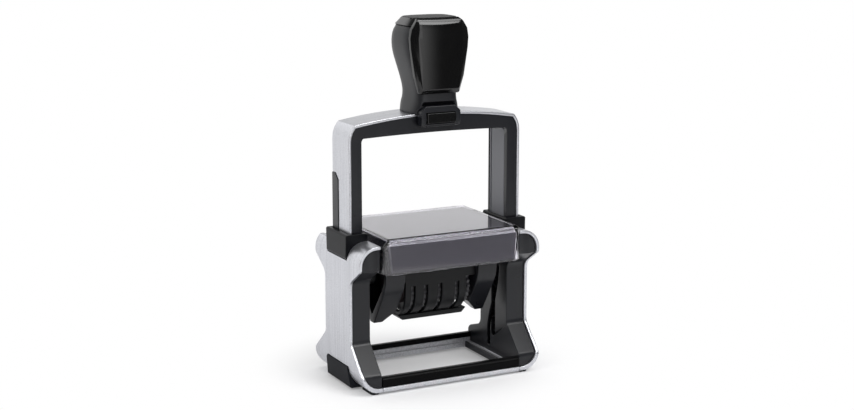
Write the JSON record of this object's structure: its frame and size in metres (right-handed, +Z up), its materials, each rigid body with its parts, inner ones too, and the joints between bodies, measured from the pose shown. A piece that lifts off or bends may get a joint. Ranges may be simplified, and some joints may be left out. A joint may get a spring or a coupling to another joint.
{
  "type": "date stamp",
  "caption": "Self-inking date stamp: silver and black base, a sprung bow with a knob, a print unit that turns over when pressed, date bands with setting wheels and a pull-out ink cartridge.",
  "frame": {"origin": "on the floor, under the middle of the box round the whole stamp", "axes": "+Z up, front of the stamp towards -Y, +X to the right seen from the front"},
  "size_m": [0.091, 0.0552, 0.1624],
  "materials": {
    "silver_metal": "satin",
    "black_plastic": "fine satin",
    "gloss_black": "polished",
    "soft_grip": "soft touch",
    "black_rubber": "matte",
    "clear_cover": "clear, polished",
    "dark_insert": "satin",
    "ink_felt": "felt",
    "print_rubber": "matte",
    "grey_plastic": "satin",
    "steel": "ground",
    "spring_steel": "black oxide"
  },
  "bodies": {
    "base": {"side_cover_left": "silver_metal", "side_cover_right": "silver_metal", "side_frame_left": "black_plastic", "side_frame_right": "black_plastic", "cross_bar_front": "black_plastic", "cross_bar_rear": "black_plastic", "base_plate": "silver_metal", "guide_rail_left": "black_plastic", "guide_rail_right": "black_plastic", "side_foot_left": "black_rubber", "side_foot_right": "black_rubber", "rubber_pads": "black_rubber", "guide_collar_left": "black_plastic", "guide_collar_right": "black_plastic", "return_spring_left": "spring_steel", "return_spring_right": "spring_steel", "window_cover": "clear_cover", "cover_insert": "dark_insert"},
    "bow": {"bow_cover": "silver_metal", "bow_frame": "black_plastic", "bow_rail_left": "black_plastic", "bow_rail_right": "black_plastic", "grip_saddle": "black_plastic", "grip_body": "soft_grip", "grip_core": "gloss_black", "pivot_pin_left": "steel", "pivot_pin_right": "steel"},
    "print_unit": {"die_carrier": "black_plastic", "cheek_left": "black_plastic", "cheek_right": "black_plastic", "text_plate": "print_rubber", "band_housing": "black_plastic", "flip_pin_left": "steel", "flip_pin_right": "steel", "wheel_axle": "steel", "axle_spacer": "grey_plastic", "band_nose": "black_plastic", "date_band_1": "print_rubber", "date_band_2": "print_rubber", "date_band_3": "print_rubber", "date_band_4": "print_rubber"},
    "ink_cartridge": {"cartridge_tray": "black_plastic", "ink_pad": "ink_felt"},
    "lock_button": {"lock_button": "gloss_black"},
    "setting_wheel_1": {"setting_wheel_1": "grey_plastic"},
    "setting_wheel_2": {"setting_wheel_2": "grey_plastic"},
    "setting_wheel_3": {"setting_wheel_3": "grey_plastic"},
    "setting_wheel_4": {"setting_wheel_4": "grey_plastic"}
  },
  "joints": [
    {"name": "bow_press", "type": "slide", "parent": "base", "child": "bow", "axis": [0, 0, -1], "range_m": [0, 0.0379], "stiffness_N_per_m": 250, "springref_m": -0.03, "deforming": ["return_spring_left", "return_spring_right"]},
    {"name": "print_flip", "type": "hinge", "parent": "bow", "child": "print_unit", "pos_m": [0, 0, 0.0512], "axis": [1, 0, 0], "range_deg": [0, 180]},
    {"name": "cartridge_pull", "type": "slide", "parent": "base", "child": "ink_cartridge", "axis": [0, 1, 0], "range_m": [0, 0.04]},
    {"name": "lock_push", "type": "slide", "parent": "bow", "child": "lock_button", "axis": [0, 1, 0], "range_m": [0, 0.002], "stiffness_N_per_m": 150, "springref_m": -0.002},
    {"name": "wheel_turn_1", "type": "hinge", "parent": "print_unit", "child": "setting_wheel_1", "pos_m": [0, 0, 0.04], "axis": [1, 0, 0], "continuous": true},
    {"name": "wheel_turn_2", "type": "hinge", "parent": "print_unit", "child": "setting_wheel_2", "pos_m": [0, 0, 0.04], "axis": [1, 0, 0], "continuous": true},
    {"name": "wheel_turn_3", "type": "hinge", "parent": "print_unit", "child": "setting_wheel_3", "pos_m": [0, 0, 0.04], "axis": [1, 0, 0], "continuous": true},
    {"name": "wheel_turn_4", "type": "hinge", "parent": "print_unit", "child": "setting_wheel_4", "pos_m": [0, 0, 0.04], "axis": [1, 0, 0], "continuous": true}
  ],
  "couplings": [
    {"joint": "print_flip", "follows": "bow_press", "rad_per_m": 82.891}
  ]
}
